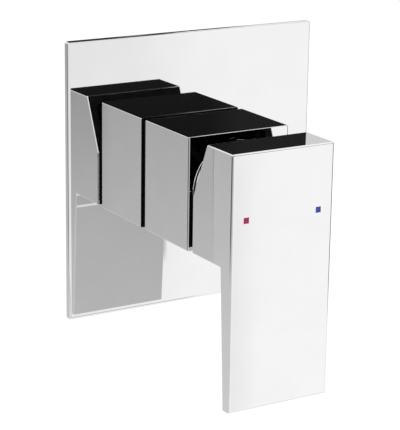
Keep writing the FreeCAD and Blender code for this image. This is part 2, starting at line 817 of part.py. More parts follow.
def handle_boss():
    """Return the stem boss, its four diagonal webs and the screw boss below it."""
    front_wall = head_front - handle_front_wall / 2
    boss = rod(handle_boss_radius, boss_back, front_wall)
    web_back = head_back + handle_web_setback
    half = handle_width - handle_wall
    eighth = math.degrees(math.pi / 4)
    for turn in (-eighth, eighth):
        web = block(handle_web_thickness, web_back, front_wall, -half, half)
        web.rotate(point(0, 0, 0), front, turn)
        boss = boss.fuse(web)
    column_top = point(0, screw_reach, 0)
    return boss.fuse(Part.makeCylinder(screw_boss_radius, handle_drop - overrun, column_top, -up))


def screw_path():
    """Return the cut for the handle screw and its plug."""
    top = point(0, screw_reach, 0)
    hole = Part.makeCylinder(handle_screw_radius + slip, handle_drop + overrun, top, -up)
    plug_top = point(0, screw_reach, screw_cap_depth + slip - handle_drop)
    seat = Part.makeCylinder(screw_cap_radius + slip, screw_cap_depth + overrun, plug_top, -up)
    return hole.fuse(seat)


def mark_square(side, reach_low, reach_high, sign):
    """Return a square bar at the place of one temperature mark."""
    half = side / 2
    return block(side, reach_low, reach_high, -mark_drop - half, half - mark_drop, sign * mark_spacing / 2)


def make_lever_handle():
    """Hollow square head with a sloping back, and a flat blade that hangs from its front."""
    blank = side_profile(handle_profile(), handle_width)
    inner_corner = [
        e for e in edges_along(blank, right)
        if abs(e.CenterOfMass.z + handle_drop) < slip
        and abs(e.CenterOfMass.y - y_at(head_front - blade_root_thickness)) < slip
    ]
    blank = blank.makeFillet(blade_root_radius, inner_corner)
    front_edges = edges_in_plane(blank, head_front)
    blank = blank.makeFillet(handle_front_radius, front_edges)
    back_edges = [
        e for e in blank.Edges
        if max(v.Point.y for v in e.Vertexes) > y_at(head_front - blade_tip_thickness + slip)
        and e.Curve.TypeId == "Part::GeomLine"
        and (e.CenterOfMass - point(0, screw_reach, e.CenterOfMass.z)).Length > handle_width / 2 - slip
        and abs(abs(e.CenterOfMass.x) - handle_width / 2) < slip
    ]
    blank = blank.makeFillet(handle_edge_radius, back_edges)
    # the boss keeps to the pocket, so that the outer form stays as it is
    pocket = handle_pocket()
    hollow = pocket.cut(handle_boss().common(pocket))
    handle = blank.cut(hollow)
    half = stem_side / 2 + slip
    socket = block(2 * half, head_back, stem_end + slip, -half, half)
    handle = handle.cut(socket).cut(screw_path())
    for sign in (-1, 1):
        handle = handle.cut(mark_square(mark_side, head_front - mark_depth, head_front + overrun, sign))
    return handle


def make_handle_screw():
    """Headless screw that holds the handle on the stem."""
    tip = point(0, screw_reach, handle_screw_tip / 2 - stem_side / 2)
    return grub_screw(handle_screw_radius, handle_screw_length, handle_screw_tip,
                      handle_screw_socket_flats, handle_screw_socket_depth, tip, -up)


def make_screw_cap():
    """Small plug with a shallow recess in its outside, which hides the handle screw."""
    top = point(0, screw_reach, screw_cap_depth - handle_drop)
    plug = Part.makeCylinder(screw_cap_radius, screw_cap_depth, top, -up)
    rim = screw_cap_radius - screw_cap_dish
    recess = Part.makeCone(rim, rim - screw_cap_dish, screw_cap_dish, point(0, screw_reach, -handle_drop), up)
    return plug.cut(recess)


def make_marker(sign):
    """One coloured square, flush with the handle's front."""
    return mark_square(mark_side - 2 * slip, head_front - mark_depth, head_front, sign)


def build():
    """Return every piece of the mixer by name."""
    return {
        "cover_plate": make_cover_plate(),
        "plate_gasket": make_plate_gasket(),
        "sleeve_seal": make_sleeve_seal(),
        "trim_sleeve": make_trim_sleeve(),
        "sleeve_grub_screw": make_sleeve_grub_screw(),
        "sleeve_o_rings": make_sleeve_o_rings(),
        "mixer_body": make_mixer_body(),
        "outlet_plug": make_outlet_plug(),
        "plug_washer": make_plug_washer(),
        "cartridge_housing": make_cartridge_housing(),
        "cartridge_base": make_cartridge_base(),
        "base_seals": make_base_seals(),
        "port_seals": make_port_seals(),
        "fixed_disc": make_fixed_disc(),
        "moving_disc": make_moving_disc(),
        "disc_carrier": make_disc_carrier(),
        "rotor_guide": make_rotor_guide(),
        "pivot_pin": make_pivot_pin(),
        "lever_stem": make_lever_stem(),
        "limiter_ring": make_limiter_ring(),
        "retaining_nut": make_retaining_nut(),
        "dome_cap": make_dome_cap(),
        "lever_handle": make_lever_handle(),
        "handle_grub_screw": make_handle_screw(),
        "screw_cap": make_screw_cap(),
        "hot_marker": make_marker(-1),
        "cold_marker": make_marker(1),
    }


os.makedirs("parts", exist_ok=True)
for node, shape in build().items():
    solids = shape.Solids
    sound = all(solid.isValid() for solid in solids)
    print(f"{node:20s} solids {len(solids)} valid {sound} volume {shape.Volume:10.1f}")
    shape.exportStep(os.path.join("parts", node + ".step"))
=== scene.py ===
"""Looks of the concealed shower mixer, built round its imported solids.

Metres, in the frame of the solids: +Z is up, +X is to the right and the mixer faces -Y. A place
along the valve axis is its y. Each sub-assembly of the mixer is a class that shapes its pieces
with bmesh operators and gives them their finishes.
"""
from __future__ import annotations

import logging
import math
from collections.abc import Callable, Iterable, Sequence
from dataclasses import dataclass, field
from enum import Enum

import bmesh
import bpy
from mathutils import Euler, Matrix, Vector

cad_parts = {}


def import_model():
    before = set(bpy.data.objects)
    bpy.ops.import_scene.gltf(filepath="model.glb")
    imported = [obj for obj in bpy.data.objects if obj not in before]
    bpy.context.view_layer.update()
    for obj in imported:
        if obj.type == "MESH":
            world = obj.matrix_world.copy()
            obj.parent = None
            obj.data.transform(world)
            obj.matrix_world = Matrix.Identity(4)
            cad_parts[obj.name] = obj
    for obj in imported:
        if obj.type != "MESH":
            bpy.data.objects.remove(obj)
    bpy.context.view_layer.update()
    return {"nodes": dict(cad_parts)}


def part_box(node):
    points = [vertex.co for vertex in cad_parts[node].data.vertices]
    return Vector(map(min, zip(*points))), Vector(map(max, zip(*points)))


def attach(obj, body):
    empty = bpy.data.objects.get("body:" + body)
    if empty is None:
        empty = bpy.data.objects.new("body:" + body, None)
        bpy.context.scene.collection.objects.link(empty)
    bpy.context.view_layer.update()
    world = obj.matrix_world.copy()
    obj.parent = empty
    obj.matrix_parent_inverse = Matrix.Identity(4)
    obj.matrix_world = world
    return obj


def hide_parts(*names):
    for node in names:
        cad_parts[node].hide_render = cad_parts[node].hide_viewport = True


LOG = logging.getLogger("shower_mixer")
MM = 0.001
FULL_TURN = 2 * math.pi
FRONT = Vector((0, -1, 0))
RIGHT = Vector((1, 0, 0))
UP = Vector((0, 0, 1))
TOUCH = 0.004 * MM  # two points nearer than this are one
CREASE = math.radians(32)  # edges that turn more than this stay sharp
FLAT = math.radians(0.4)  # faces that lean less than this against each other are one face
ROUND_STEPS = 96  # sides of a turned piece
ARC_STEPS = 5  # facets across a rounded edge

Colour = tuple[float, float, float]


class Body(Enum):
    """The bodies that new pieces ride on."""

    WALL = "root"
    LEVER = "lever"


class Join(Enum):
    """How one closed shape is combined with another."""

    CUT = "DIFFERENCE"
    ADD = "UNION"


@dataclass(frozen=True)
class Extent:
    """The box that a solid fills, from its lowest to its highest corner."""

    low: Vector
    high: Vector

    @classmethod
    def of(cls, node: str) -> "Extent":
        """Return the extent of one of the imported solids.

        Args:
            node: Name of the solid.

        Returns:
            Its box at rest.
        """
        return cls(*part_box(node))

    @property
    def middle(self) -> Vector:
        """The centre of the box."""
        return (self.low + self.high) / 2

    @property
    def size(self) -> Vector:
        """The three sides of the box."""
        return self.high - self.low

    @property
    def front(self) -> float:
        """The y of the side that faces the room."""
        return self.low.y

    @property
    def back(self) -> float:
        """The y of the side that faces the wall."""
        return self.high.y


class Form:
    """A closed shape in the making, in metres, at its place in the frame."""

    def __init__(self) -> None:
        """Start with an empty shape."""
        self.mesh = bmesh.new()
        self.radii = self.mesh.edges.layers.float.new("bevel_weight_edge")

    @classmethod
    def block(cls, low: Vector, high: Vector) -> "Form":
        """Return a box between two corners.

        Args:
            low: Lowest corner.
            high: Highest corner.

        Returns:
            The box.
        """
        form = cls()
        made = bmesh.ops.create_cube(form.mesh, size=1.0)["verts"]
        bmesh.ops.scale(form.mesh, vec=high - low, verts=made)
        bmesh.ops.translate(form.mesh, vec=(low + high) / 2, verts=made)
        return form

    @classmethod
    def rod(cls, radius: float, start: Vector, run: Vector, steps: int = ROUND_STEPS) -> "Form":
        """Return a round bar.

        Args:
            radius: Radius of the bar.
            start: Centre of its first end.
            run: Vector from its first end to its second.
            steps: Sides of the bar.

        Returns:
            The bar.
        """
        form = cls()
        made = bmesh.ops.create_cone(form.mesh, cap_ends=True, segments=steps, radius1=radius, radius2=radius,
                                     depth=run.length)["verts"]
        turn = UP.rotation_difference(run).to_matrix()
        bmesh.ops.rotate(form.mesh, cent=Vector(), matrix=turn, verts=made)
        bmesh.ops.translate(form.mesh, vec=start + run / 2, verts=made)
        return form

    @classmethod
    def turned(cls, profile: Sequence[tuple[float, float]], origin: Vector, axis: Vector,
               steps: int = ROUND_STEPS) -> "Form":
        """Return the shape that an outline sweeps in a full turn.

        Args:
            profile: Points of the closed outline, each a radius and a distance along the axis.
            origin: A point on the axis, where the distance is zero.
            axis: Direction of the axis.
            steps: Sides of the turned shape.

        Returns:
            The turned shape.
        """
        form = cls()
        side = axis.orthogonal().normalized()
        points = [form.mesh.verts.new(origin + side * radius + axis * along) for radius, along in profile]
        edges = [form.mesh.edges.new(pair) for pair in zip(points, points[1:] + points[:1])]
        bmesh.ops.spin(form.mesh, geom=points + edges, cent=origin, axis=axis, dvec=Vector(), angle=FULL_TURN,
                       steps=steps, use_merge=True, use_duplicate=False)
        return form.closed()

    @classmethod
    def prism(cls, outline: Sequence[Vector], run: Vector) -> "Form":
        """Return a flat outline drawn out to a bar.

        Args:
            outline: Corners of the flat outline.
            run: Vector along which it is drawn out.

        Returns:
            The bar.
        """
        form = cls()
        face = form.mesh.faces.new([form.mesh.verts.new(corner) for corner in outline])
        made = bmesh.ops.extrude_face_region(form.mesh, geom=[face], use_keep_orig=True)["geom"]
        bmesh.ops.translate(form.mesh, vec=run, verts=[v for v in made if isinstance(v, bmesh.types.BMVert)])
        return form.closed()

    def closed(self) -> "Form":
        """Merge doubled points and turn the faces outwards.

        Returns:
            The same shape.
        """
        bmesh.ops.remove_doubles(self.mesh, verts=self.mesh.verts[:], dist=TOUCH)
        bmesh.ops.dissolve_degenerate(self.mesh, edges=self.mesh.edges[:], dist=TOUCH)
        bmesh.ops.recalc_face_normals(self.mesh, faces=self.mesh.faces[:])
        return self

    def level(self) -> "Form":
        """Join the triangles of each flat face and return the shape."""
        bmesh.ops.dissolve_limit(self.mesh, angle_limit=FLAT, verts=self.mesh.verts[:], edges=self.mesh.edges[:])
        return self

    def edges(self, wanted: Callable[[Vector, Vector], bool]) -> list[bmesh.types.BMEdge]:
        """Return the edges whose two ends pass a test.

        Args:
            wanted: Test on the two ends of an edge.

        Returns:
            The edges that pass it.
        """
        return [e for e in self.mesh.edges if wanted(e.verts[0].co, e.verts[1].co)]

    def edges_at(self, axis: int, level: float) -> list[bmesh.types.BMEdge]:
        """Return the edges that lie in a plane across one of the frame's axes.

        Args:
            axis: Index of the axis.
            level: Place of the plane on it.

        Returns:
            The edges in the plane.
        """
        return self.edges(lambda a, b: abs(a[axis] - level) < TOUCH and abs(b[axis] - level) < TOUCH)

    def edges_along(self, direction: Vector) -> list[bmesh.types.BMEdge]:
        """Return the edges that run along a direction.

        Args:
            direction: The direction, of unit length.

        Returns:
            The edges that run along it.
        """
        return self.edges(lambda a, b: abs((b - a).normalized().dot(direction)) > 1 - TOUCH)

    def soften(self, edges: Iterable[bmesh.types.BMEdge], radius: float) -> "Form":
        """Mark some edges to be rounded when the shape is made an object.

        Args:
            edges: The edges.
            radius: Radius of the rounding.

        Returns:
            The same shape.
        """
        for edge in edges:
            edge[self.radii] = radius
        return self

    def turn(self, angle: float, axis: Vector, centre: Vector) -> "Form":
        """Turn the shape about a line and return it.

        Args:
            angle: Angle in radians.
            axis: Direction of the line.
            centre: A point on the line.

        Returns:
            The same shape.
        """
        bmesh.ops.rotate(self.mesh, cent=centre, matrix=Matrix.Rotation(angle, 3, axis), verts=self.mesh.verts[:])
        return self

    def piece(self, name: str) -> bpy.types.Object:
        """Make the shape an object of the scene.

        Args:
            name: Name of the object.

        Returns:
            The object.
        """
        largest = max((edge[self.radii] for edge in self.mesh.edges), default=0.0)
        if largest > 0:
            for edge in self.mesh.edges:
                edge[self.radii] /= largest
        data = bpy.data.meshes.new(name)
        self.mesh.to_mesh(data)
        self.mesh.free()
        item = bpy.data.objects.new(name, data)
        bpy.context.scene.collection.objects.link(item)
        if largest > 0:
            modifier = item.modifiers.new("rounding", "BEVEL")
            modifier.limit_method = "WEIGHT"
            modifier.width = largest
            modifier.segments = ARC_STEPS
            modifier.use_clamp_overlap = False
            settle(item)
            item.data.attributes.remove(item.data.attributes["bevel_weight_edge"])
        return item


def settle(item: bpy.types.Object) -> None:
    """Make the result of an object's modifiers its own mesh.

    Args:
        item: The object.
    """
    graph = bpy.context.evaluated_depsgraph_get()
    made = bpy.data.meshes.new_from_object(item.evaluated_get(graph))
    old = item.data
    item.modifiers.clear()
    item.data = made
    made.name = item.name
    bpy.data.meshes.remove(old)


def combine(item: bpy.types.Object, tool: Form | bpy.types.Object, join: Join) -> bpy.types.Object:
    """Combine an object with a closed shape, which is used up.

    Args:
        item: The object.
        tool: The shape, or an object of that shape.
        join: Whether it is cut off or added.

    Returns:
        The same object.
    """
    helper = tool.piece("tool") if isinstance(tool, Form) else tool
    modifier = item.modifiers.new("combine", "BOOLEAN")
    modifier.operation = join.value
    modifier.solver = "EXACT"
    modifier.object = helper
    settle(item)
    bpy.data.objects.remove(helper)
    return item


def paint(item: bpy.types.Object, material: bpy.types.Material, wanted: Callable[[Vector], bool]) -> None:
    """Give some faces of an object a material of their own.

    Args:
        item: The object.
        material: The material.
        wanted: Test on the centre of a face.
    """
    item.data.materials.append(material)
    last = len(item.data.materials) - 1
    for face in item.data.polygons:
        if wanted(face.center):
            face.material_index = last


def polish_normals(item: bpy.types.Object) -> None:
    """Shade an object smooth so that its flat faces stay true and its rounded edges flow.

    Args:
        item: The object.
    """
    item.data.shade_smooth()
    item.data.set_sharp_from_angle(angle=CREASE)
    modifier = item.modifiers.new("face normals", "WEIGHTED_NORMAL")
    modifier.mode = "FACE_AREA"
    modifier.weight = 100
    modifier.keep_sharp = True
    settle(item)


class NodeKit:
    """A node tree with short ways to link and to calculate."""

    def __init__(self, tree: bpy.types.NodeTree) -> None:
        """Start with an empty tree.

        Args:
            tree: The tree, which is cleared.
        """
        self.tree = tree
        tree.nodes.clear()

    def feed(self, socket: bpy.types.NodeSocket, value: object) -> None:
        """Set an input socket to a value, or link it to an output socket.

        Args:
            socket: The input socket.
            value: A value or an output socket.
        """
        if isinstance(value, bpy.types.NodeSocket):
            self.tree.links.new(value, socket)
        elif socket.type == "RGBA" and len(value) == 3:
            socket.default_value = (*value, 1.0)
        else:
            socket.default_value = value

    def math(self, operation: str, first: object, second: object = 0.0) -> bpy.types.NodeSocket:
        """Combine two numbers.

        Args:
            operation: Name of the Math node's operation.
            first: Value or socket.
            second: Value or socket.

        Returns:
            The result.
        """
        made = self.tree.nodes.new("ShaderNodeMath")
        made.operation = operation
        self.feed(made.inputs[0], first)
        self.feed(made.inputs[1], second)
        return made.outputs[0]


class Recipe(NodeKit):
    """The shader nodes of one material, round a Principled shader."""

    def __init__(self, name: str) -> None:
        """Start a material.

        Args:
            name: Name of the material.
        """
        self.material = bpy.data.materials.new(name)
        self.material.use_nodes = True
        super().__init__(self.material.node_tree)
        self.surface = self.node("ShaderNodeBsdfPrincipled")
        output = self.node("ShaderNodeOutputMaterial")
        self.tree.links.new(self.surface.outputs["BSDF"], output.inputs["Surface"])
        self.place = self.node("ShaderNodeTexCoord").outputs["Object"]

    def node(self, kind: str, **values: object) -> bpy.types.Node:
        """Add a node and set its sockets.

        Args:
            kind: Type of the node.
            **values: Value or source of each named input socket, with _ for a space.

        Returns:
            The node.
        """
        made = self.tree.nodes.new(kind)
        for name, value in values.items():
            self.feed(made.inputs[name.replace("_", " ")], value)
        return made

    def set(self, **values: object) -> None:
        """Set or link sockets of the Principled shader.

        Args:
            **values: Value or source of each named socket, with _ for a space.
        """
        for name, value in values.items():
            self.feed(self.surface.inputs[name.replace("_", " ")], value)

    def stretched(self, stretch: Colour) -> bpy.types.NodeSocket:
        """Return the place on the object, scaled along each axis.

        Args:
            stretch: Scale along x, y and z.

        Returns:
            The scaled place.
        """
        return self.node("ShaderNodeMapping", Vector=self.place, Scale=stretch).outputs["Vector"]

    def noise(self, grain: float, detail: float = 3.0, stretch: Colour = (1, 1, 1)) -> bpy.types.NodeSocket:
        """Return a soft random pattern from 0 to 1.

        Args:
            grain: Size of its spots in metres.
            detail: Octaves of finer detail.
            stretch: How much finer it is along x, y and z.

        Returns:
            The pattern.
        """
        return self.node("ShaderNodeTexNoise", Vector=self.stretched(stretch), Scale=1 / grain,
                         Detail=detail).outputs["Fac"]

    def cells(self, grain: float) -> bpy.types.NodeSocket:
        """Return a pattern of closed cells, dark in their middles.

        Args:
            grain: Size of a cell in metres.

        Returns:
            The distance to the nearest cell's middle.
        """
        return self.node("ShaderNodeTexVoronoi", Vector=self.place, Scale=1 / grain).outputs["Distance"]

    def spread(self, value: bpy.types.NodeSocket, low: float, high: float, start: float = 0.3,
               end: float = 0.7) -> bpy.types.NodeSocket:
        """Map a pattern smoothly onto a range.

        Args:
            value: The pattern.
            low: Result where the pattern is at or under start.
            high: Result where the pattern is at or over end.
            start: Lower end of the pattern's range.
            end: Upper end of the pattern's range.

        Returns:
            The mapped pattern.
        """
        made = self.node("ShaderNodeMapRange", Value=value, From_Min=start, From_Max=end, To_Min=low, To_Max=high)
        made.interpolation_type = "SMOOTHSTEP"
        return made.outputs["Result"]

    def blend(self, factor: bpy.types.NodeSocket, first: object, second: object) -> bpy.types.NodeSocket:
        """Mix two colours.

        Args:
            factor: Share of the second colour.
            first: Colour or socket where the factor is 0.
            second: Colour or socket where the factor is 1.

        Returns:
            The mixed colour.
        """
        made = self.tree.nodes.new("ShaderNodeMix")
        made.data_type = "RGBA"
        self.feed(made.inputs[0], factor)
        self.feed(made.inputs[6], first)
        self.feed(made.inputs[7], second)
        return made.outputs[2]

    def axes(self) -> tuple[bpy.types.NodeSocket, bpy.types.NodeSocket, bpy.types.NodeSocket]:
        """Return the x, y and z of the place on the object."""
        parts = self.node("ShaderNodeSeparateXYZ", Vector=self.place).outputs
        return parts["X"], parts["Y"], parts["Z"]

    def relief(self, height: bpy.types.NodeSocket, depth: float, strength: float = 1.0) -> None:
        """Bump the surface by a pattern.

        Args:
            height: The pattern.
            depth: Height in metres where the pattern is 1.
            strength: Share of the bump that shows.
        """
        made = self.node("ShaderNodeBump", Height=height, Distance=depth, Strength=strength)
        self.set(Normal=made.outputs["Normal"])


@dataclass(frozen=True)
class ChromeFinish:
    """Bright chrome plate over polished metal, with a trace of polishing haze."""

    name: str = "chrome plate"
    tint: Colour = (0.921, 0.921, 0.922)
    haze_tint: Colour = (0.904, 0.904, 0.906)
    roughness: tuple[float, float] = (0.006, 0.022)
    haze_size: float = 14 * MM
    ripple_size: float = 22 * MM
    ripple_depth: float = 0.0015 * MM

    def build(self) -> bpy.types.Material:
        """Mix the finish.

        Returns:
            The material.
        """
        recipe = Recipe(self.name)
        haze = recipe.noise(self.haze_size, 4.0)
        recipe.set(Base_Color=recipe.blend(recipe.spread(haze, 0.0, 1.0), self.tint, self.haze_tint), Metallic=1.0,
                   Roughness=recipe.spread(haze, *self.roughness))
        recipe.relief(recipe.noise(self.ripple_size, 1.0), self.ripple_depth)
        return recipe.material


@dataclass(frozen=True)
class CastingFinish:
    """Sand-cast brass whose working faces are machined bright."""

    name: str
    skin: Colour
    pits: Colour
    machined: Colour
    grain: float
    port_reach: float
    outlet_reach: float
    back: float
    collar_front: float
    fade: float = 0.05 * MM
    patch_size: float = 12.0  # in grains
    lathe_lines: Colour = (1.0, 9.0, 1.0)
    roughness: tuple[float, float] = (0.42, 0.60)
    machined_polish: float = 0.24  # how much smoother the machined faces are
    lathe_depth: float = 0.06  # share of the sand's depth
    depth: float = 0.14 * MM

    def build(self) -> bpy.types.Material:
        """Mix the finish.

        Returns:
            The material.
        """
        recipe = Recipe(self.name)
        x, y, z = recipe.axes()
        worked = recipe.spread(recipe.math("ABSOLUTE", x), 0, 1, self.port_reach - self.fade, self.port_reach)
        for value, level in (
            (recipe.math("ABSOLUTE", z), self.outlet_reach),
            (y, self.back),
            (recipe.math("MULTIPLY", y, -1.0), -self.collar_front),
        ):
            face = recipe.spread(value, 0, 1, level - self.fade, level)
            worked = recipe.math("MAXIMUM", worked, face)
        sand = recipe.noise(self.grain, 6.0)
        patches = recipe.noise(self.grain * self.patch_size, 3.0)
        rough_colour = recipe.blend(recipe.spread(sand, 0, 1, 0.35, 0.6), self.pits, self.skin)
        rough_colour = recipe.blend(recipe.spread(patches, 0.0, 0.4), rough_colour, self.pits)
        lathe = recipe.noise(self.grain, 2.0, self.lathe_lines)
        recipe.set(
            Base_Color=recipe.blend(worked, rough_colour, self.machined), Metallic=1.0,
            Roughness=recipe.math("SUBTRACT", recipe.spread(sand, *self.roughness),
                                  recipe.math("MULTIPLY", worked, self.machined_polish)),
        )
        height = recipe.math("MULTIPLY", recipe.math("SUBTRACT", 1.0, worked), sand)
        height = recipe.math("ADD", height, recipe.math("MULTIPLY", lathe, self.lathe_depth))
        recipe.relief(height, self.depth, 0.8)
        return recipe.material


@dataclass(frozen=True)
class TurnedFinish:
    """Machined metal with fine tool lines across one axis."""

    name: str
    colour: Colour
    dull: Colour
    roughness: tuple[float, float]
    lines: Colour
    line_size: float = 0.7 * MM
    line_depth: float = 0.006 * MM
    tarnish_size: float = 9.0  # in line sizes

    def build(self) -> bpy.types.Material:
        """Mix the finish.

        Returns:
            The material.
        """
        recipe = Recipe(self.name)
        lines = recipe.noise(self.line_size, 3.0, self.lines)
        tarnish = recipe.noise(self.line_size * self.tarnish_size, 4.0)
        recipe.set(Base_Color=recipe.blend(recipe.spread(tarnish, 0.0, 1.0), self.colour, self.dull),
                   Metallic=1.0, Roughness=recipe.spread(lines, *self.roughness))
        recipe.relief(lines, self.line_depth)
        return recipe.material


@dataclass(frozen=True)
class MouldedFinish:
    """Moulded plastic with a fine eroded skin and faint flow shades."""

    name: str
    colour: Colour
    shade: Colour
    roughness: tuple[float, float]
    grain: float = 0.16 * MM
    depth: float = 0.012 * MM
    flow: float = 6 * MM
    gloss: float = 0.5

    def build(self) -> bpy.types.Material:
        """Mix the finish.

        Returns:
            The material.
        """
        recipe = Recipe(self.name)
        flow = recipe.noise(self.flow, 3.0)
        skin = recipe.noise(self.grain, 4.0)
        recipe.set(Base_Color=recipe.blend(recipe.spread(flow, 0.0, 1.0), self.colour, self.shade),
                   Roughness=recipe.spread(skin, *self.roughness), Specular_IOR_Level=self.gloss)
        recipe.relief(skin, self.depth)
        return recipe.material


@dataclass(frozen=True)
class FoamFinish:
    """Closed-cell foam rubber with a pored skin."""

    name: str = "foam rubber"
    colour: Colour = (0.055, 0.056, 0.060)
    pores: Colour = (0.012, 0.012, 0.013)
    cell: float = 0.55 * MM
    depth: float = 0.16 * MM
    shade_size: float = 18.0  # in cells
    roughness: tuple[float, float] = (0.95, 0.70)
    gloss: float = 0.25

    def build(self) -> bpy.types.Material:
        """Mix the finish.

        Returns:
            The material.
        """
        recipe = Recipe(self.name)
        cells = recipe.cells(self.cell)
        shade = recipe.noise(self.cell * self.shade_size, 2.0)
        skin = recipe.blend(recipe.spread(cells, 0.0, 1.0, 0.1, 0.55), self.pores, self.colour)
        recipe.set(Base_Color=recipe.blend(recipe.spread(shade, 0.0, 0.35), skin, self.pores),
                   Roughness=recipe.spread(cells, *self.roughness), Specular_IOR_Level=self.gloss)
        recipe.relief(cells, self.depth, 0.8)
        return recipe.material


@dataclass(frozen=True)
class EnamelFinish:
    """Glossy enamel let into the metal, a little uneven in thickness."""

    name: str
    colour: Colour
    deep: Colour
    pool: float = 0.9 * MM
    depth: float = 0.01 * MM
    roughness: tuple[float, float] = (0.10, 0.18)
    gloss: float = 0.3
    coat_roughness: float = 0.04

    def build(self) -> bpy.types.Material:
        """Mix the finish.

        Returns:
            The material.
        """
        recipe = Recipe(self.name)
        pool = recipe.noise(self.pool, 2.0)
        recipe.set(Base_Color=recipe.blend(recipe.spread(pool, 0.0, 1.0), self.colour, self.deep),
                   Roughness=recipe.spread(pool, *self.roughness), Specular_IOR_Level=self.gloss,
                   Coat_Weight=self.gloss, Coat_Roughness=self.coat_roughness)
        recipe.relief(pool, self.depth)
        return recipe.material


class Wardrobe:
    """Every finish of the mixer, each built once and handed out by name."""

    def __init__(self, body: Extent) -> None:
        """Lay out the finishes.

        Args:
            body: The extent of the in-wall body, whose end faces are machined.
        """
        brass_casting = CastingFinish(
            name="cast brass", skin=(0.62, 0.43, 0.17), pits=(0.36, 0.22, 0.08), machined=(0.83, 0.62, 0.28),
            grain=0.55 * MM, port_reach=body.high.x - 0.05 * MM, outlet_reach=body.high.z - 0.05 * MM,
            back=-0.02 * MM, collar_front=-45.4 * MM,
        )
        self.finishes = {
            "chrome": ChromeFinish(),
            "foam": FoamFinish(),
            "cast_brass": brass_casting,
            "machined_brass": TurnedFinish("machined brass", (0.80, 0.60, 0.27), (0.66, 0.47, 0.19), (0.16, 0.32),
                                           (1.0, 8.0, 1.0)),
            "stem_brass": TurnedFinish("drawn brass", (0.78, 0.58, 0.27), (0.64, 0.46, 0.19), (0.18, 0.34),
                                       (8.0, 1.0, 8.0)),
            "screw_steel": TurnedFinish("stainless steel", (0.58, 0.57, 0.55), (0.42, 0.41, 0.40), (0.18, 0.34),
                                        (6.0, 6.0, 1.0), line_size=0.5 * MM),
            "black_rubber": MouldedFinish("black rubber", (0.006, 0.006, 0.006), (0.011, 0.011, 0.011), (0.50, 0.68),
                                          grain=0.22 * MM, depth=0.01 * MM, gloss=0.12),
            "red_fibre": MouldedFinish("red fibre", (0.38, 0.075, 0.040), (0.20, 0.035, 0.022), (0.7, 0.9),
                                       grain=0.3 * MM, depth=0.05 * MM, flow=1.6 * MM, gloss=0.25),
            # near-black and not metal: painted shade for the handle's hollow, the back of its head and the sleeve's
            # foot, standing in for the dark of those recesses
            "painted_recess_shade": MouldedFinish("painted recess shade", (0.006, 0.006, 0.006), (0.003, 0.003, 0.003), (0.6, 0.8),
                                          grain=0.3 * MM, depth=0.03 * MM, gloss=0.08),
            "cartridge_plastic": MouldedFinish("grey moulding", (0.43, 0.44, 0.45), (0.36, 0.37, 0.38), (0.38, 0.52)),
            "base_plastic": MouldedFinish("dark moulding", (0.030, 0.030, 0.033), (0.048, 0.048, 0.050),
                                          (0.40, 0.56)),
            "rotor_plastic": MouldedFinish("white moulding", (0.80, 0.79, 0.75), (0.72, 0.71, 0.67), (0.26, 0.38),
                                           depth=0.006 * MM),
            "limiter_plastic": MouldedFinish("red moulding", (0.55, 0.030, 0.022), (0.42, 0.020, 0.016),
                                             (0.26, 0.40), depth=0.006 * MM),
            "ceramic": MouldedFinish("ceramic", (0.84, 0.82, 0.76), (0.78, 0.75, 0.68), (0.10, 0.24),
                                     grain=0.5 * MM, depth=0.002 * MM, gloss=0.7),
            "hot_red": EnamelFinish("red enamel", (0.42, 0.010, 0.085), (0.26, 0.004, 0.045)),
            "cold_blue": EnamelFinish("blue enamel", (0.055, 0.065, 0.44), (0.028, 0.035, 0.27)),
        }
        self.made: dict[str, bpy.types.Material] = {}

    def get(self, slot: str) -> bpy.types.Material:
        """Return the material of a slot, built on first use.

        Args:
            slot: Name of the slot.

        Returns:
            The material.
        """
        if slot not in self.made:
            self.made[slot] = self.finishes[slot].build()
        return self.made[slot]

    def dress(self, item: bpy.types.Object, slot: str) -> None:
        """Give an object the finish of a slot.

        Args:
            item: The object.
            slot: Name of the slot.
        """
        item.data.materials.clear()
        item.data.materials.append(self.get(slot))


@dataclass
class SubAssembly:
    """A group of pieces that is built together."""

    wardrobe: Wardrobe
    nodes: dict[str, bpy.types.Object]

    def keep(self, node: str, slot: str) -> None:
        """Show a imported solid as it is, with a better finish.

        Args:
            node: Name of the solid.
            slot: Name of the finish.
        """
        self.wardrobe.dress(self.nodes[node], slot)
        LOG.info("kept %s in %s", node, slot)

    def place(self, item: bpy.types.Object, body: Body, slot: str, *stands_for: str) -> bpy.types.Object:
        """Finish a new piece and tie it to the body that it moves with.

        Args:
            item: The piece.
            body: The body that it rides on.
            slot: Name of its finish.
            *stands_for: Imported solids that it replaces.

        Returns:
            The same piece.
        """
        polish_normals(item)
        self.wardrobe.dress(item, slot)
        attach(item, body.value)
        if stands_for:
            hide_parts(*stands_for)
        LOG.info("made %s in %s", item.name, slot)
        return item


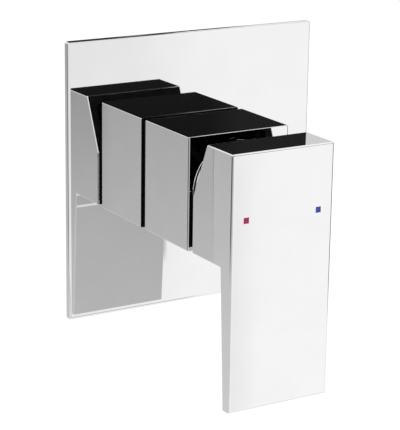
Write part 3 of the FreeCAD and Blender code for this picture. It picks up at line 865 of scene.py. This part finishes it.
@dataclass
class WallTrim(SubAssembly):
    """Cover plate with its foam, the square sleeve, its seam rubber and its grub screw."""

    plate_corner: float = 1.0 * MM
    plate_edge: float = 0.35 * MM
    plate_border: float = 1.4 * MM  # width of the strip along the edges that falls back
    plate_fall: float = 0.10 * MM  # how far that strip falls back
    sleeve_corner: float = 0.5 * MM
    sleeve_side: float = 0.65 * MM
    sleeve_foot: float = 0.8 * MM
    painted_shade_foot: float = 0.7  # share of the foot's rounding that is painted black as shade in the seam
    sleeve_rim: float = 0.2 * MM
    sleeve_chamfer: float = 0.8 * MM
    bore_radius: float = 21.5 * MM
    screw_play: float = 0.05 * MM
    screw_hole_steps: int = 32
    neck_hole_radius: float = 21.6 * MM
    foam_corner: float = 3.0 * MM

    def build(self) -> None:
        """Make and finish every piece of the trim."""
        self.make_plate()
        self.make_foam()
        self.make_sleeve()
        self.keep("sleeve_seal", "black_rubber")
        self.keep("sleeve_grub_screw", "screw_steel")

    def make_plate(self) -> None:
        """Square plate with a border that falls back a little, holed for the valve neck."""
        extent = Extent.of("cover_plate")
        form = Form.block(extent.low - FRONT * self.plate_fall, extent.high)
        form.soften(form.edges_along(FRONT), self.plate_corner)
        form.soften(form.edges_at(1, extent.front + self.plate_fall), self.plate_edge)
        form.mesh.normal_update()
        front = [face for face in form.mesh.faces if face.normal.dot(FRONT) > 1 - TOUCH]
        bmesh.ops.inset_region(form.mesh, faces=front, thickness=self.plate_border, depth=self.plate_fall,
                               use_even_offset=True)
        form.soften(form.edges_at(1, extent.front), 0.0)  # the strip's inner edge stays as it is
        item = form.piece("chrome_cover_plate")
        self.bore(item, extent, self.neck_hole_radius)
        self.place(item, Body.WALL, "chrome", "cover_plate")

    def make_foam(self) -> None:
        """Foam sheet behind the plate."""
        extent = Extent.of("plate_gasket")
        form = Form.block(extent.low, extent.high)
        form.soften(form.edges_along(FRONT), self.foam_corner)
        item = form.piece("foam_gasket")
        self.bore(item, extent, self.neck_hole_radius)
        self.place(item, Body.WALL, "foam", "plate_gasket")

    def make_sleeve(self) -> None:
        """Square block with a chamfered bore and a screw hole underneath."""
        extent = Extent.of("trim_sleeve")
        screw = Extent.of("sleeve_grub_screw")
        form = Form.block(extent.low, extent.high)
        form.soften(form.edges_along(FRONT), self.sleeve_corner)
        form.soften(form.edges_at(1, extent.front), self.sleeve_rim)
        form.soften(form.edges_along(UP), self.sleeve_side)
        form.soften(form.edges_at(1, extent.back), self.sleeve_foot)
        item = form.piece("chrome_sleeve")
        self.bore(item, extent, self.bore_radius)
        mouth = Form.turned([(0, 0), (self.bore_radius + 2 * self.sleeve_chamfer, 0),
                             (self.bore_radius, 2 * self.sleeve_chamfer), (0, 2 * self.sleeve_chamfer)],
                            Vector((0, extent.front - self.sleeve_chamfer, 0)), -FRONT)
        combine(item, mouth, Join.CUT)
        top = Vector((0, screw.middle.y, 0))
        radius = screw.size.x / 2 + self.screw_play
        combine(item, Form.rod(radius, top, -UP * extent.size.z, self.screw_hole_steps), Join.CUT)
        self.place(item, Body.WALL, "chrome", "trim_sleeve")
        # The foot's rounding, in the seam against the plate, is painted black as shade.
        foot = extent.back - self.painted_shade_foot * self.sleeve_foot
        paint(item, self.wardrobe.get("painted_recess_shade"), lambda c: c.y > foot)

    def bore(self, item: bpy.types.Object, extent: Extent, radius: float) -> None:
        """Bore a round hole along the valve axis through a piece.

        Args:
            item: The piece.
            extent: The piece's extent.
            radius: Radius of the hole.
        """
        start = Vector((0, extent.back + MM, 0))
        combine(item, Form.rod(radius, start, FRONT * (extent.size.y + 2 * MM)), Join.CUT)


@dataclass
class LeverHandle(SubAssembly):
    """The hollow square head with its flat blade, its marks, its screw and the screw's plug."""

    drop: float = 24.0 * MM
    chamfer_top: float = 19.5 * MM  # handle front to the top of the sloping back
    chamfer_start: float = 0.3 * MM
    root_thickness: float = 7.9 * MM
    tip_thickness: float = 4.4 * MM
    root_radius: float = 1.2 * MM
    front_radius: float = 0.8 * MM
    edge_radius: float = 0.6 * MM
    back_edge_radius: float = 0.2 * MM
    wall: float = 3.8 * MM
    front_wall: float = 4.2 * MM
    pocket_radius: float = 1.5 * MM
    boss_radius: float = 8.5 * MM
    boss_setback: float = 3.0 * MM
    web_thickness: float = 2.4 * MM
    web_setback: float = 10.0 * MM
    screw_boss_radius: float = 5.5 * MM
    stem_play: float = 0.05 * MM
    screw_way_steps: int = 48
    extent: Extent = field(init=False)

    def build(self) -> None:
        """Make and finish every piece of the handle."""
        self.extent = Extent.of("lever_handle")
        self.make_handle()
        self.keep("lever_stem", "stem_brass")
        self.keep("handle_grub_screw", "screw_steel")
        self.keep("screw_cap", "chrome")
        self.keep("hot_marker", "hot_red")
        self.keep("cold_marker", "cold_blue")

    def outline(self) -> list[Vector]:
        """Draw the handle as it is seen from the side.

        Returns:
            The corners of its outline, on its left face.
        """
        low, high = self.extent.low, self.extent.high
        front = low.y
        places = [
            (front, high.z),
            (front + self.chamfer_top, high.z),
            (high.y, self.chamfer_start),
            (high.y, -self.drop),
            (front + self.root_thickness, -self.drop),
            (front + self.tip_thickness, low.z),
            (front, low.z),
        ]
        return [Vector((low.x, y, z)) for y, z in places]

    def make_handle(self) -> None:
        """Outer skin with rounded edges, hollowed from behind."""
        front = self.extent.front
        outline = self.outline()
        form = Form.prism(outline, RIGHT * self.extent.size.x)
        form.soften(form.edges_along(RIGHT), self.back_edge_radius)
        root = outline[4].yz
        form.soften(form.edges(lambda a, b: (a.yz - root).length < TOUCH and (b.yz - root).length < TOUCH),
                    self.root_radius)
        for side in (self.extent.low.x, self.extent.high.x):
            form.soften(form.edges_at(0, side), self.edge_radius)
        form.soften(form.edges_at(1, front), self.front_radius)
        item = form.piece("chrome_handle")
        combine(item, self.pocket(), Join.CUT)
        self.cut_ways(item)
        low, high = self.extent.low, self.extent.high
        rim = self.wall / 2
        self.place(item, Body.LEVER, "chrome", "lever_handle")
        # The hollow's inside and the back face of the head are painted black as shade.
        paint(item, self.wardrobe.get("painted_recess_shade"), lambda c: (
            low.x + rim < c.x < high.x - rim and front + rim < c.y < high.y - 2 * rim and
            -self.drop + rim < c.z < high.z - rim) or c.y > high.y - TOUCH)

    def pocket(self) -> bpy.types.Object:
        """Shape the hollow of the head round its boss, webs and screw column.

        Returns:
            The hollow, to cut off.
        """
        low, high = self.extent.low, self.extent.high
        screw = Extent.of("handle_grub_screw")
        front = low.y + self.front_wall
        block = Form.block(Vector((low.x + self.wall, front, self.wall - self.drop)),
                           Vector((high.x - self.wall, high.y + MM, high.z - self.wall)))
        block.soften(block.edges_along(FRONT), self.pocket_radius)
        helper = block.piece("pocket")
        base = front - MM
        boss_back = high.y - self.boss_setback
        combine(helper, Form.rod(self.boss_radius, Vector((0, boss_back, 0)), FRONT * (boss_back - base)), Join.CUT)
        half = self.web_thickness / 2
        for turn in (-1, 1):
            web = Form.block(Vector((-half, base, -high.z * 2)),
                             Vector((half, high.y - self.web_setback, high.z * 2)))
            combine(helper, web.turn(turn * math.pi / 4, FRONT, Vector()), Join.CUT)
        column = Form.rod(self.screw_boss_radius, Vector((0, screw.middle.y, 0)), -UP * self.drop)
        return combine(helper, column, Join.CUT)

    def cut_ways(self, item: bpy.types.Object) -> None:
        """Cut the stem's socket, the screw's way and the beds of the marks.

        Args:
            item: The handle.
        """
        stem = Extent.of("lever_stem")
        play = Vector((1, 0, 1)) * self.stem_play
        low, high = stem.low.copy(), stem.high.copy()
        low.y -= self.stem_play
        high.y = self.extent.back + MM
        combine(item, Form.block(low - play, high + play), Join.CUT)
        for node, length in (("handle_grub_screw", self.drop * 2), ("screw_cap", 0.0)):
            extent = Extent.of(node)
            top = Vector((0, extent.middle.y, extent.high.z if length == 0.0 else 0.0))
            depth = top.z + self.drop + MM
            combine(item, Form.rod(extent.size.y / 2 + self.stem_play, top, -UP * depth, self.screw_way_steps),
                    Join.CUT)
        for node in ("hot_marker", "cold_marker"):
            mark = Extent.of(node)
            grow = Vector((self.stem_play, 0, self.stem_play))
            outer = Vector((0, MM, 0))
            combine(item, Form.block(mark.low - grow - outer, mark.high + grow), Join.CUT)


@dataclass
class InWallBody(SubAssembly):
    """The brass body in the wall with its plug, washer and neck rings."""

    ring_steps: int = 20
    ring_section: float = 0.875 * MM  # radius of an O-ring's section
    port_level: float = -18.0 * MM  # y of the ports' axes
    thread_pitch: float = 1.814 * MM
    thread_radius: float = 10.48 * MM  # at the root of the grooves
    bore_radius: float = 9.3 * MM
    thread_turns: float = 6.5
    thread_steps: int = 40
    groove_half: float = 0.46  # half of a groove's mouth, in pitches
    groove_lead: float = 0.4  # first groove's distance from the port's mouth, in pitches
    groove_lap: float = 0.3 * MM  # how far a groove starts inside the bore

    def build(self) -> None:
        """Make and finish every piece of the body."""
        self.make_body()
        self.keep("outlet_plug", "machined_brass")
        self.keep("plug_washer", "red_fibre")
        self.make_rings()

    def make_body(self) -> None:
        """Body with pipe threads cut in its three open ports."""
        extent = Extent.of("mixer_body")
        form = Form()
        form.mesh.from_mesh(self.nodes["mixer_body"].data)
        item = form.closed().level().piece("brass_body")
        for mouth, inward in (
            (Vector((extent.low.x, self.port_level, 0)), RIGHT),
            (Vector((extent.high.x, self.port_level, 0)), -RIGHT),
            (Vector((0, self.port_level, extent.high.z)), -UP),
        ):
            combine(item, self.thread(mouth, inward), Join.CUT)
        self.place(item, Body.WALL, "cast_brass", "mixer_body")

    def thread(self, mouth: Vector, inward: Vector) -> Form:
        """Return the winding groove of one port's thread.

        Args:
            mouth: Centre of the port's mouth.
            inward: Direction into the port.

        Returns:
            The groove as a shape to cut off.
        """
        form = Form()
        side = FRONT
        half = self.thread_pitch * self.groove_half
        inner = self.bore_radius - self.groove_lap
        start = mouth + inward * self.thread_pitch * self.groove_lead
        corners = [start + side * inner - inward * half, start + side * self.thread_radius,
                   start + side * inner + inward * half]
        face = form.mesh.faces.new([form.mesh.verts.new(corner) for corner in corners])
        steps = int(self.thread_turns * self.thread_steps)
        bmesh.ops.spin(form.mesh, geom=[face, *face.edges, *face.verts], cent=mouth, axis=inward,
                       dvec=inward * self.thread_pitch / self.thread_steps,
                       angle=self.thread_turns * FULL_TURN, steps=steps, use_merge=False, use_duplicate=False)
        return form.closed()

    def make_rings(self) -> None:
        """Two round O-rings in the grooves of the neck."""
        extent = Extent.of("sleeve_o_rings")
        section = self.ring_section
        middle = extent.high.x - section
        profile = []
        for step in range(self.ring_steps):
            angle = FULL_TURN * step / self.ring_steps
            profile.append((middle + section * math.cos(angle), section * math.sin(angle)))
        item = None
        for y in (extent.back - section, extent.front + section):
            form = Form.turned(profile, Vector((0, y, 0)), FRONT)
            if item is None:
                item = form.piece("neck_o_rings")
            else:
                combine(item, form, Join.ADD)
        self.place(item, Body.WALL, "black_rubber", "sleeve_o_rings")


@dataclass
class Cartridge(SubAssembly):
    """The ceramic cartridge, with the nut that clamps it and the cap over the nut."""

    dome_steps: int = 10
    opening_radius: float = 14.8 * MM
    skirt: float = 5.3 * MM
    cap_wall: float = 1.6 * MM
    inner_radius: float = 17.5 * MM
    nut_radius: float = 18.15 * MM

    def build(self) -> None:
        """Make and finish every piece of the cartridge."""
        for node, slot in (
            ("cartridge_housing", "cartridge_plastic"),
            ("cartridge_base", "base_plastic"),
            ("base_seals", "black_rubber"),
            ("port_seals", "black_rubber"),
            ("fixed_disc", "ceramic"),
            ("moving_disc", "ceramic"),
            ("disc_carrier", "rotor_plastic"),
            ("rotor_guide", "rotor_plastic"),
            ("pivot_pin", "screw_steel"),
            ("limiter_ring", "limiter_plastic"),
            ("retaining_nut", "machined_brass"),
        ):
            self.keep(node, slot)
        self.make_dome()

    def make_dome(self) -> None:
        """Chromed cap with a smoothly domed front, open for the stem."""
        extent = Extent.of("dome_cap")
        height = extent.size.y
        radius = extent.size.x / 2
        profile = [(self.nut_radius, 0.0), (radius, 0.0)]
        for step in range(self.dome_steps + 1):
            angle = math.pi / 2 * step / self.dome_steps
            across = self.opening_radius + (radius - self.opening_radius) * math.cos(angle)
            profile.append((across, self.skirt + (height - self.skirt) * math.sin(angle)))
        profile += [
            (self.opening_radius, height - self.cap_wall),
            (self.inner_radius, self.skirt + self.cap_wall / 2),
            (self.nut_radius, self.skirt),
        ]
        form = Form.turned(profile, Vector((0, extent.back, 0)), FRONT)
        self.place(form.piece("chrome_dome_cap"), Body.WALL, "chrome", "dome_cap")


@dataclass(frozen=True)
class StudioCard:
    """A soft-edged patch of the studio round the object, seen only in its reflections.

    Azimuth is in degrees from the front of the object towards its right. Height and side are the
    z and the x of a direction of unit length.
    """

    azimuth: tuple[float, float]
    height: tuple[float, float]
    brightness: tuple[float, float]  # at the first and at the last azimuth
    lower_gain: float = 0.0  # how much brighter it gets for each unit of height that it goes down
    azimuth_fade: float = 5.0
    height_fade: float = 0.04
    side: tuple[float, float] = (-2.0, 2.0)
    side_fade: float = 0.016


@dataclass
class Studio:
    """Camera, light and floor: a plain white studio with grey and black cards round the object."""

    camera_place: Vector = field(default_factory=lambda: Vector((-0.375402, -0.67346, 0.188268)))
    camera_yaw: float = 31.192  # degrees from straight ahead towards the right
    camera_pitch: float = -15.994
    camera_roll: float = 0.869
    focal_pixels: float = 1736.277
    picture: tuple[int, int] = (400, 430)
    sensor: float = 36.0
    floor_level: float = -0.36
    floor_side: float = 16.0
    floor_glow: float = 0.80
    floor_colour: Colour = (0.26, 0.26, 0.26)
    floor_shade: float = 0.97  # share of the colour in the darker spots
    floor_spot: float = 0.5

    def build(self) -> None:
        """Set up everything round the object."""
        scene = bpy.context.scene
        scene.view_settings.view_transform = "Standard"
        self.make_camera()
        self.make_world()
        self.make_floor()
        self.make_lamps()
        LOG.info("studio ready")

    def make_camera(self) -> None:
        """Camera at the place and angle from which the photograph was taken."""
        data = bpy.data.cameras.new("camera")
        data.sensor_width = self.sensor
        data.lens = self.focal_pixels * self.sensor / max(self.picture)
        data.clip_start, data.clip_end = 0.01, 60.0
        camera = bpy.data.objects.new("camera", data)
        bpy.context.scene.collection.objects.link(camera)
        yaw, pitch, roll = (math.radians(a) for a in (self.camera_yaw, self.camera_pitch, self.camera_roll))
        level = Euler((math.pi / 2 + pitch, 0, -yaw), "XYZ").to_matrix()
        camera.rotation_mode = "QUATERNION"
        camera.rotation_quaternion = (level @ Matrix.Rotation(roll, 3, "Z")).to_quaternion()
        camera.location = self.camera_place
        bpy.context.scene.camera = camera

    def cards(self) -> list[StudioCard]:
        """Return the cards, each laid over those before it."""
        return [
            StudioCard((-150.0, -24.0), (0.03, 0.62), (0.90, 0.90)),
            StudioCard((100.0, 147.6), (-0.12, 0.52), (0.66, 0.66), azimuth_fade=1.5),
            StudioCard((147.6, 151.0), (0.06, 0.62), (0.034, 0.016), azimuth_fade=1.5),
            StudioCard((151.0, 166.0), (0.06, 0.62), (0.013, 0.013), azimuth_fade=1.5),
            StudioCard((136.0, 164.0), (-0.46, -0.30), (0.50, 0.50), lower_gain=1.0),
            StudioCard((-19.0, 38.0), (-0.75, 0.10), (0.53, 0.975), lower_gain=0.25),
            StudioCard((30.0, 38.0), (-0.75, 0.10), (0.970, 1.01), lower_gain=0.10, azimuth_fade=3.0),
            StudioCard((32.2, 33.2), (-0.45, -0.24), (0.88, 0.98), azimuth_fade=0.3),
            StudioCard((-27.9, -22.0), (-0.30, -0.10), (0.36, 0.36), lower_gain=1.9, azimuth_fade=0.6),
            StudioCard((26.9, 30.0), (-0.300, -0.250), (0.55, 0.55), azimuth_fade=0.15, height_fade=0.01),
            StudioCard((20.0, 29.8), (-0.374, -0.354), (0.50, 0.50), azimuth_fade=0.5, height_fade=0.006),
            StudioCard((38.0, 100.0), (-0.75, 0.10), (1.00, 0.80)),
            StudioCard((-20.0, 32.0), (0.15, 0.60), (0.002, 0.002), lower_gain=0.05),
            StudioCard((28.0, 35.0), (0.15, 0.60), (0.002, 0.002), lower_gain=0.05, azimuth_fade=0.8),
            StudioCard((35.0, 100.0), (0.15, 0.29), (0.010, 0.010), azimuth_fade=0.8),
            StudioCard((32.0, 60.0), (0.15, 0.29), (0.018, 0.018), azimuth_fade=1.5),
            StudioCard((20.0, 160.0), (0.56, 1.1), (0.05, 0.05), side=(0.24, 0.496)),
            StudioCard((-143.0, -98.0), (-0.30, -0.05), (0.01, 0.01)),
            StudioCard((-98.0, -54.0), (-0.30, -0.05), (0.22, 0.22)),
            StudioCard((56.0, 140.0), (-0.32, -0.05), (0.015, 0.015)),
        ]

    def make_world(self) -> None:
        """White for the camera, an even soft light for matt surfaces and the cards for bright metal."""
        world = bpy.data.worlds.new("studio")
        bpy.context.scene.world = world
        world.use_nodes = True
        kit = WorldRecipe(world.node_tree)
        shade = kit.backdrop()
        for card in self.cards():
            shade = kit.lay(card, shade)
        kit.finish(shade)

    def make_floor(self) -> None:
        """Pale floor that keeps the object's soft shadow and hides nothing from below."""
        form = Form()
        bmesh.ops.create_grid(form.mesh, x_segments=1, y_segments=1, size=self.floor_side / 2)
        bmesh.ops.translate(form.mesh, vec=UP * self.floor_level, verts=form.mesh.verts[:])
        floor = form.piece("studio_floor")
        recipe = Recipe("pale floor")
        tree = recipe.tree
        mottle = recipe.noise(self.floor_spot, 2.0)
        colour = recipe.blend(recipe.spread(mottle, 0.0, 1.0), self.floor_colour,
                              tuple(self.floor_shade * c for c in self.floor_colour))
        recipe.set(Base_Color=colour, Roughness=0.8, Specular_IOR_Level=0.0,
                   Emission_Color=(1.0, 1.0, 1.0), Emission_Strength=self.floor_glow)
        clear = recipe.node("ShaderNodeBsdfTransparent")
        mix = recipe.node("ShaderNodeMixShader")
        tree.links.new(recipe.node("ShaderNodeNewGeometry").outputs["Backfacing"], mix.inputs[0])
        tree.links.new(recipe.surface.outputs["BSDF"], mix.inputs[1])
        tree.links.new(clear.outputs["BSDF"], mix.inputs[2])
        output = next(n for n in tree.nodes if n.type == "OUTPUT_MATERIAL")
        tree.links.new(mix.outputs["Shader"], output.inputs["Surface"])
        floor.data.materials.append(recipe.material)
        floor.visible_glossy = False
        floor.visible_transmission = False
        floor.visible_diffuse = False

    def make_lamps(self) -> None:
        """Two large soft lamps that give matt surfaces their shape and the floor its shadow."""
        for name, place, side, watts in (
            ("key lamp", Vector((-1.1, -1.0, 1.5)), 1.2, 9.0),
            ("fill lamp", Vector((1.3, -0.9, 0.7)), 1.4, 4.0),
        ):
            data = bpy.data.lights.new(name, "AREA")
            data.size = side
            data.energy = watts
            lamp = bpy.data.objects.new(name, data)
            lamp.location = place
            lamp.rotation_mode = "QUATERNION"
            lamp.rotation_quaternion = (-place).to_track_quat("-Z", "Y")
            lamp.visible_glossy = False
            bpy.context.scene.collection.objects.link(lamp)


class WorldRecipe(NodeKit):
    """The nodes of the world, which are worked out from the direction that is looked in."""

    def __init__(self, tree: bpy.types.NodeTree) -> None:
        """Start the tree with the direction's parts.

        Args:
            tree: The world's node tree.
        """
        super().__init__(tree)
        direction = tree.nodes.new("ShaderNodeTexCoord").outputs["Generated"]
        parts = tree.nodes.new("ShaderNodeSeparateXYZ")
        tree.links.new(direction, parts.inputs[0])
        self.height = parts.outputs["Z"]
        self.side = parts.outputs["X"]
        ahead = self.math("MULTIPLY", parts.outputs["Y"], -1.0)
        turn = self.math("ARCTAN2", parts.outputs["X"], ahead)
        self.azimuth = self.math("MULTIPLY", turn, math.degrees(1.0))

    def slope(self, value: bpy.types.NodeSocket, start: float, end: float, low: float = 0.0,
              high: float = 1.0, smooth: bool = True) -> bpy.types.NodeSocket:
        """Map a number between two ends, held level outside them.

        Args:
            value: The number.
            start: Where the result is low.
            end: Where the result is high.
            low: First result.
            high: Last result.
            smooth: Whether the ends are eased.

        Returns:
            The result.
        """
        node = self.tree.nodes.new("ShaderNodeMapRange")
        node.interpolation_type = "SMOOTHSTEP" if smooth else "LINEAR"
        self.tree.links.new(value, node.inputs["Value"])
        for name, level in (("From Min", start), ("From Max", end), ("To Min", low), ("To Max", high)):
            node.inputs[name].default_value = level
        return node.outputs["Result"]

    def window(self, value: bpy.types.NodeSocket, low: float, high: float, fade: float) -> bpy.types.NodeSocket:
        """Return 1 between two ends and 0 outside them, with soft borders.

        Args:
            value: The number.
            low: Lower end.
            high: Upper end.
            fade: Width of each border, half of it on each side.

        Returns:
            The window.
        """
        rise = self.slope(value, low - fade / 2, low + fade / 2)
        fall = self.slope(value, high - fade / 2, high + fade / 2, 1.0, 0.0)
        return self.math("MULTIPLY", rise, fall)

    def backdrop(self) -> bpy.types.NodeSocket:
        """Shade the walls, floor and ceiling of the studio by height.

        Returns:
            Their brightness.
        """
        ramp = self.tree.nodes.new("ShaderNodeValToRGB")
        stops = ((-1.0, 0.80), (-0.50, 0.68), (-0.375, 0.635), (-0.31, 0.565), (-0.216, 0.450), (-0.174, 0.385),
                 (-0.08, 0.43), (0.05, 0.62), (0.30, 0.80), (0.62, 0.95), (1.0, 1.0))
        elements = ramp.color_ramp.elements
        while len(elements) < len(stops):
            elements.new(0.5)
        for element, (height, level) in zip(elements, stops):
            element.position = (height + 1) / 2
            element.color = (level, level, level, 1.0)
        self.tree.links.new(self.slope(self.height, -1.0, 1.0, smooth=False), ramp.inputs[0])
        parts = self.tree.nodes.new("ShaderNodeRGBToBW")
        self.tree.links.new(ramp.outputs["Color"], parts.inputs[0])
        return parts.outputs[0]

    def lay(self, card: StudioCard, under: bpy.types.NodeSocket) -> bpy.types.NodeSocket:
        """Lay a card over what is there.

        Args:
            card: The card.
            under: Brightness without it.

        Returns:
            Brightness with it.
        """
        mask = self.math("MULTIPLY", self.window(self.azimuth, *card.azimuth, card.azimuth_fade),
                         self.window(self.height, *card.height, card.height_fade))
        mask = self.math("MULTIPLY", mask, self.window(self.side, *card.side, card.side_fade))
        shade = self.slope(self.azimuth, *card.azimuth, *card.brightness, smooth=False)
        middle = sum(card.height) / 2
        extra = self.math("MULTIPLY", self.math("SUBTRACT", middle, self.height), card.lower_gain)
        shade = self.math("MAXIMUM", self.math("ADD", shade, extra), 0.0)
        kept = self.math("MULTIPLY", under, self.math("SUBTRACT", 1.0, mask))
        return self.math("ADD", kept, self.math("MULTIPLY", shade, mask))

    def finish(self, shade: bpy.types.NodeSocket) -> None:
        """Send the brightness to bright metal and plain light to everything else.

        Args:
            shade: Brightness of the studio as metal mirrors it.
        """
        rays = self.tree.nodes.new("ShaderNodeLightPath").outputs
        soft = self.slope(self.height, -1.0, 1.0, 0.62, 0.98, smooth=False)
        level = soft
        for ray, source in (("Is Camera Ray", 1.0), ("Is Glossy Ray", shade)):
            kept = self.math("MULTIPLY", level, self.math("SUBTRACT", 1.0, rays[ray]))
            level = self.math("ADD", kept, self.math("MULTIPLY", source, rays[ray]))
        background = self.tree.nodes.new("ShaderNodeBackground")
        background.inputs["Color"].default_value = (1.0, 1.0, 1.0, 1.0)
        self.tree.links.new(level, background.inputs["Strength"])
        output = self.tree.nodes.new("ShaderNodeOutputWorld")
        self.tree.links.new(background.outputs[0], output.inputs["Surface"])


def main() -> None:
    """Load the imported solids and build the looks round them, sub-assembly by sub-assembly."""
    logging.basicConfig(level=logging.INFO, format="%(name)s: %(message)s")
    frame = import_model()
    Studio().build()
    wardrobe = Wardrobe(Extent.of("mixer_body"))
    for part in (InWallBody, Cartridge, WallTrim, LeverHandle):
        part(wardrobe, frame["nodes"]).build()


if __name__ == "__main__":
    main()
